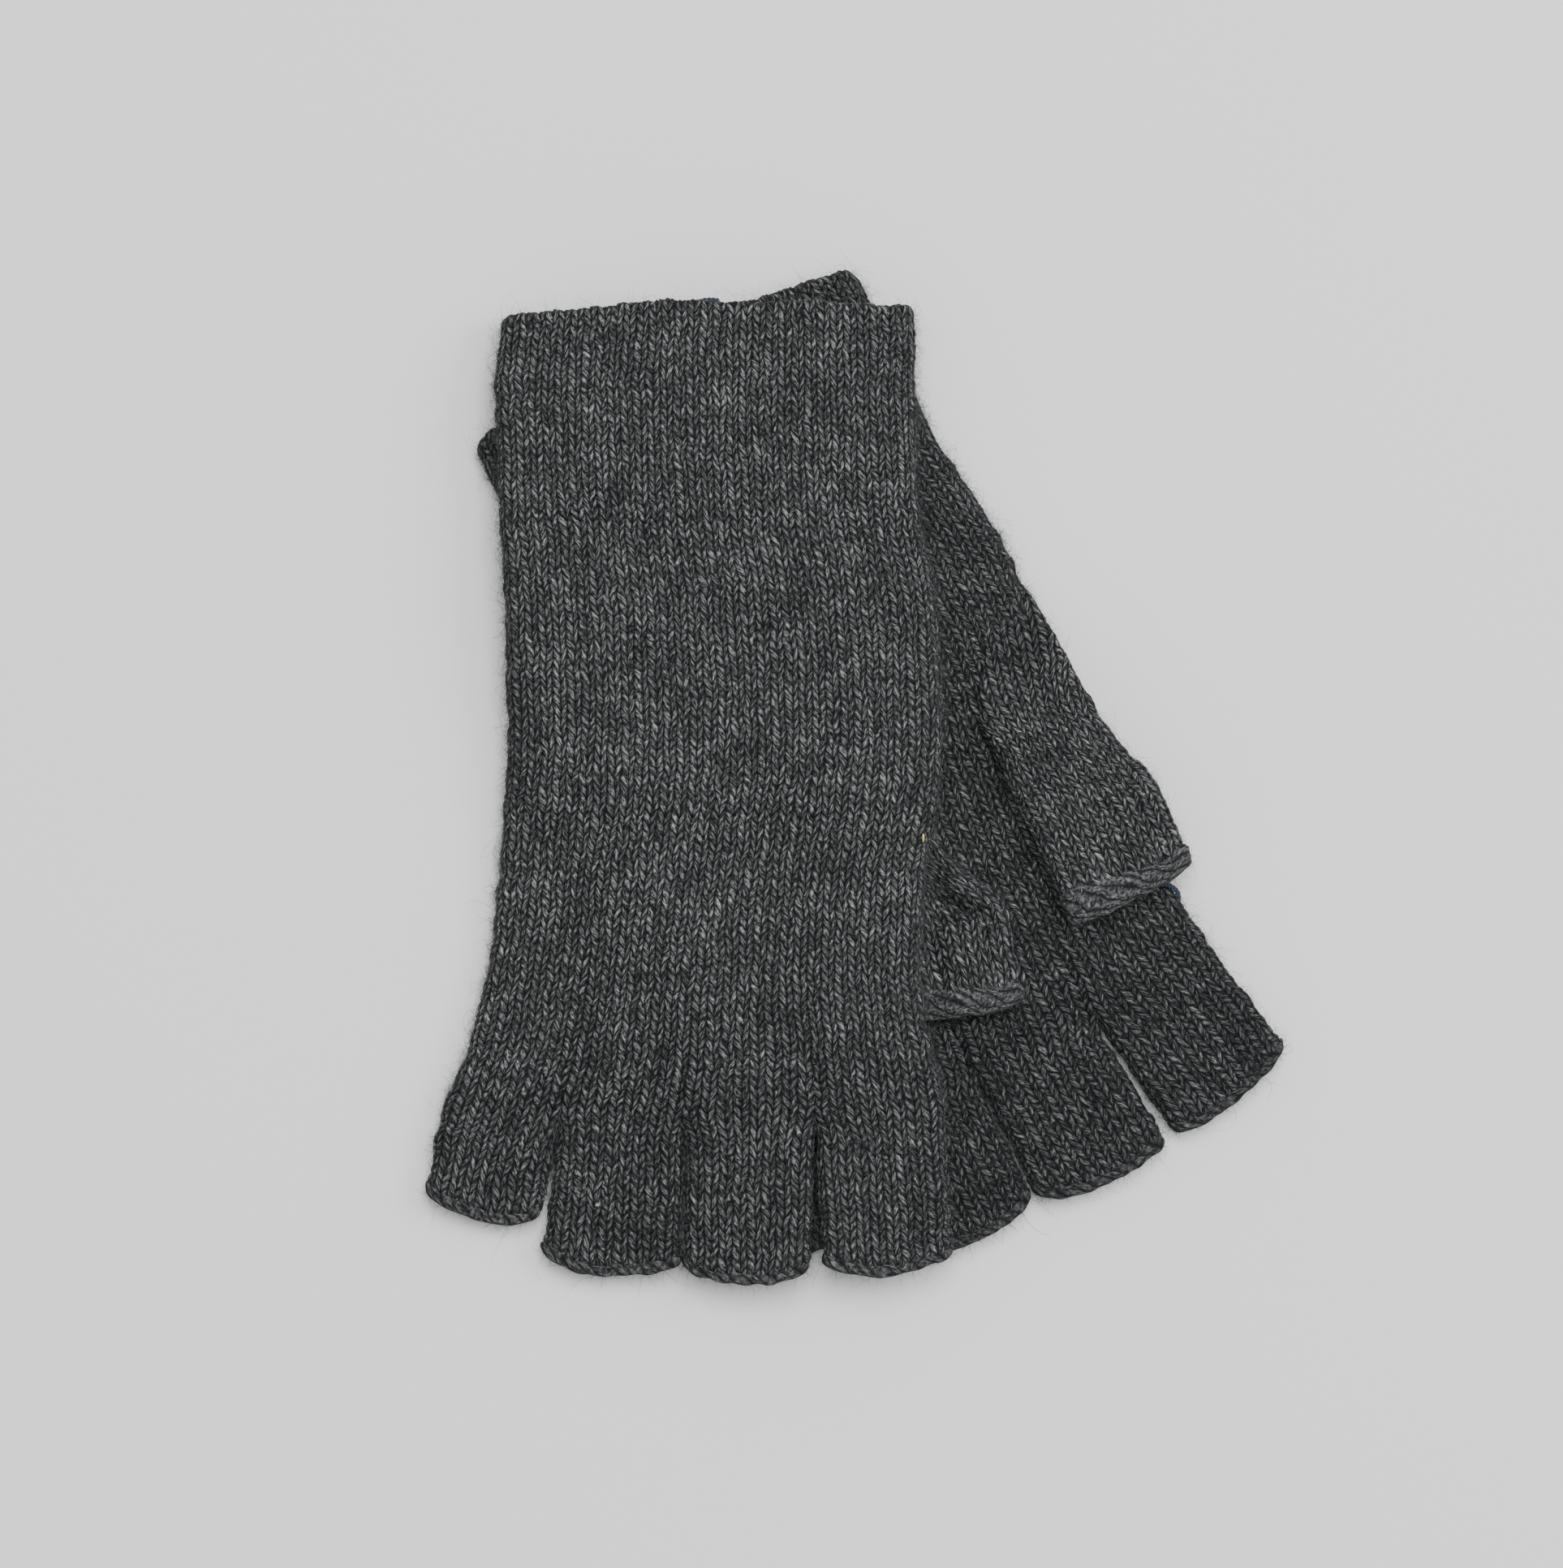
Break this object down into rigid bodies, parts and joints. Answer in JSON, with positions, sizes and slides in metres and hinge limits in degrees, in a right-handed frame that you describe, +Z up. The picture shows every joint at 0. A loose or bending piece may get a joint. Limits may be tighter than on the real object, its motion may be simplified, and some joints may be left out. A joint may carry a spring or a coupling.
{
  "type": "fingerless gloves",
  "caption": "Knitted charcoal-grey fingerless gloves with long cuffs, laid flat and stacked palm to palm, with open-ended finger and thumb stalls.",
  "frame": {"origin": "on the surface that the pair lies on, under the middle of the pair's bounding box", "axes": "+Z up from the surface; -Y towards the fingertips of the upper, right glove and +Y towards its cuff; +X towards the side that both thumbs are on"},
  "size_m": [0.1856, 0.222, 0.0186],
  "materials": {
    "charcoal_knit": "matte brushed wool melange, plain knit",
    "edge_knit": "matte brushed wool melange, rolled bind-off edge",
    "navy_yarn": "matte twisted yarn",
    "brass": "polished"
  },
  "bodies": {
    "left_hand": {"left_hand": "charcoal_knit", "left_cuff": "charcoal_knit", "left_cuff_edge": "edge_knit", "left_thumb_gusset": "charcoal_knit", "left_marker_yarn": "navy_yarn"},
    "right_hand": {"right_hand": "charcoal_knit", "right_thumb_gusset": "charcoal_knit", "brass_staple": "brass"},
    "right_cuff": {"right_cuff": "charcoal_knit", "right_cuff_edge": "edge_knit", "right_marker_yarn": "navy_yarn"},
    "left_thumb": {"left_thumb_stall": "charcoal_knit", "left_thumb_hem": "edge_knit"},
    "left_index": {"left_index_stall": "charcoal_knit", "left_index_hem": "edge_knit"},
    "left_middle": {"left_middle_stall": "charcoal_knit", "left_middle_hem": "edge_knit"},
    "left_ring": {"left_ring_stall": "charcoal_knit", "left_ring_hem": "edge_knit"},
    "left_little": {"left_little_stall": "charcoal_knit", "left_little_hem": "edge_knit"},
    "right_thumb": {"right_thumb_stall": "charcoal_knit", "right_thumb_hem": "edge_knit"},
    "right_index": {"right_index_stall": "charcoal_knit", "right_index_hem": "edge_knit"},
    "right_middle": {"right_middle_stall": "charcoal_knit", "right_middle_hem": "edge_knit"},
    "right_ring": {"right_ring_stall": "charcoal_knit", "right_ring_hem": "edge_knit"},
    "right_little": {"right_little_stall": "charcoal_knit", "right_little_hem": "edge_knit"}
  },
  "joints": [
    {"name": "right_glove_lift", "type": "slide", "parent": "left_hand", "child": "right_hand", "axis": [0, 0, 1], "range_m": [0, 0.12]},
    {"name": "right_cuff_fold", "type": "hinge", "parent": "right_hand", "child": "right_cuff", "pos_m": [-0.0329, 0.0544, 0.0143], "axis": [1, 0, 0], "range_deg": [0, 60], "stiffness_Nm_per_rad": 0.002},
    {"name": "right_thumb_swing", "type": "hinge", "parent": "right_hand", "child": "right_thumb", "pos_m": [0.0166, -0.01312, 0.009], "axis": [0, 0, 1], "range_deg": [0, 12], "stiffness_Nm_per_rad": 0.002},
    {"name": "right_index_fold", "type": "hinge", "parent": "right_hand", "child": "right_index", "pos_m": [0.0049, -0.0736, 0.01435], "axis": [-1, 0, 0], "range_deg": [0, 60], "stiffness_Nm_per_rad": 0.002},
    {"name": "right_middle_fold", "type": "hinge", "parent": "right_hand", "child": "right_middle", "pos_m": [-0.0235, -0.0736, 0.01435], "axis": [-1, 0, 0], "range_deg": [0, 60], "stiffness_Nm_per_rad": 0.002},
    {"name": "right_ring_fold", "type": "hinge", "parent": "right_hand", "child": "right_ring", "pos_m": [-0.0514, -0.0736, 0.0127], "axis": [-1, 0, 0], "range_deg": [0, 60], "stiffness_Nm_per_rad": 0.002},
    {"name": "right_little_fold", "type": "hinge", "parent": "right_hand", "child": "right_little", "pos_m": [-0.0772, -0.0736, 0.00705], "axis": [-1, 0, 0], "range_deg": [0, 60], "stiffness_Nm_per_rad": 0.002},
    {"name": "left_thumb_fold", "type": "hinge", "parent": "left_hand", "child": "left_thumb", "pos_m": [0.04408, 0.0091, 0.01415], "axis": [-0.9092, -0.4163, 0], "range_deg": [0, 60], "stiffness_Nm_per_rad": 0.002},
    {"name": "left_index_fold", "type": "hinge", "parent": "left_hand", "child": "left_index", "pos_m": [0.06345, -0.04571, 0.00705], "axis": [-0.9092, -0.4163, 0], "range_deg": [0, 60], "stiffness_Nm_per_rad": 0.002},
    {"name": "left_middle_fold", "type": "hinge", "parent": "left_hand", "child": "left_middle", "pos_m": [0.03745, -0.05761, 0.00705], "axis": [-0.9092, -0.4163, 0], "range_deg": [0, 60], "stiffness_Nm_per_rad": 0.002},
    {"name": "left_ring_spread", "type": "hinge", "parent": "left_hand", "child": "left_ring", "pos_m": [0.00049, -0.07453, 0.0035], "axis": [0, 0, -1], "range_deg": [0, 4], "stiffness_Nm_per_rad": 0.002},
    {"name": "left_little_spread", "type": "hinge", "parent": "left_hand", "child": "left_little", "pos_m": [-0.02265, -0.08513, 0.0035], "axis": [0, 0, -1], "range_deg": [0, 5], "stiffness_Nm_per_rad": 0.002}
  ]
}
